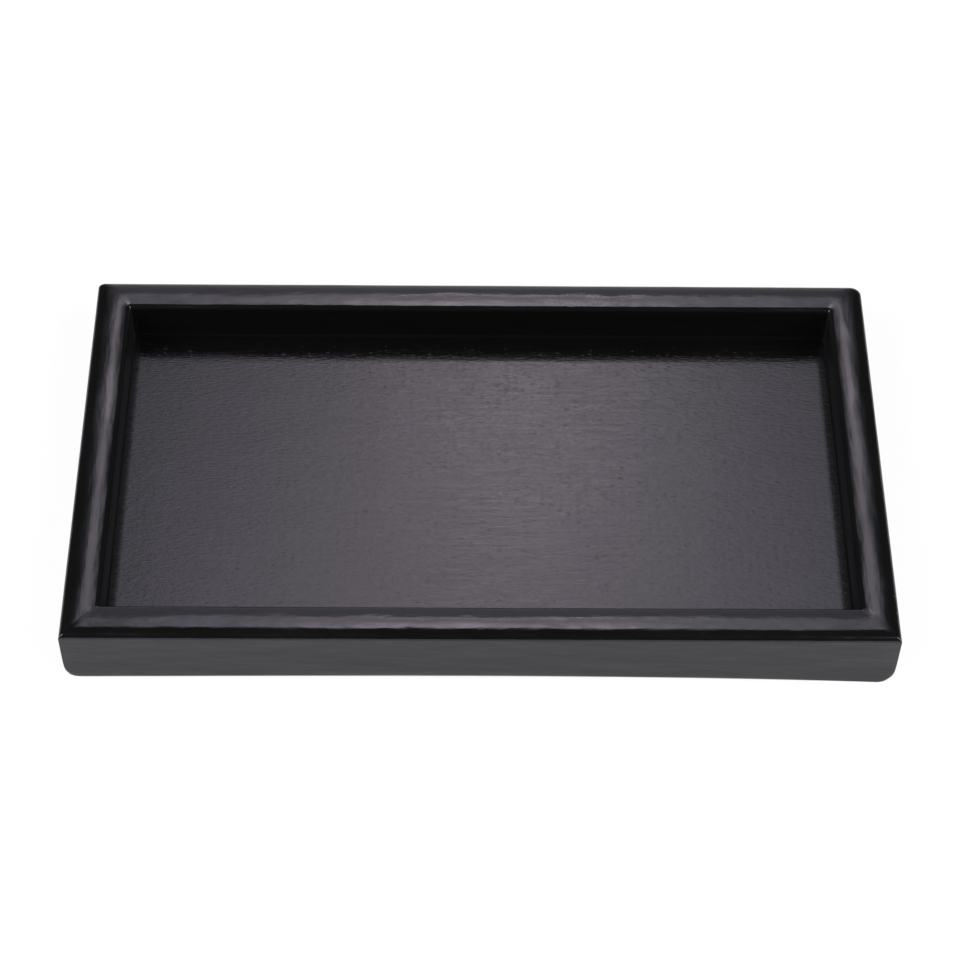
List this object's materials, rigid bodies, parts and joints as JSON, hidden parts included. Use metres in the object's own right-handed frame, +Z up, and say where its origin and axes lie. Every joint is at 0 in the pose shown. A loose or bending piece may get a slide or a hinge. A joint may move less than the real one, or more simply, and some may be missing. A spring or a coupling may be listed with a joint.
{
  "type": "tea tray",
  "caption": "Rectangular wooden tea tray in black lacquer, with a crowned rim of mitred rails round a recessed flat floor.",
  "frame": {"origin": "middle of the footprint, on the surface that the tray stands on", "axes": "+X along the length, to the right as seen from the front; +Y from front to back; +Z up out of the recess"},
  "size_m": [0.27, 0.152, 0.026],
  "materials": {
    "rail_lacquer": "black lacquer, semi-gloss, softly uneven over the wood",
    "floor_lacquer": "black lacquer, satin, with short pores of the wood showing along the length",
    "spline_wood": "bare beech"
  },
  "bodies": {
    "root": {"front_rail": "rail_lacquer", "back_rail": "rail_lacquer", "left_rail": "rail_lacquer", "right_rail": "rail_lacquer", "floor_panel": "floor_lacquer", "front_left_spline": "spline_wood", "front_right_spline": "spline_wood", "back_right_spline": "spline_wood", "back_left_spline": "spline_wood"}
  },
  "joints": []
}
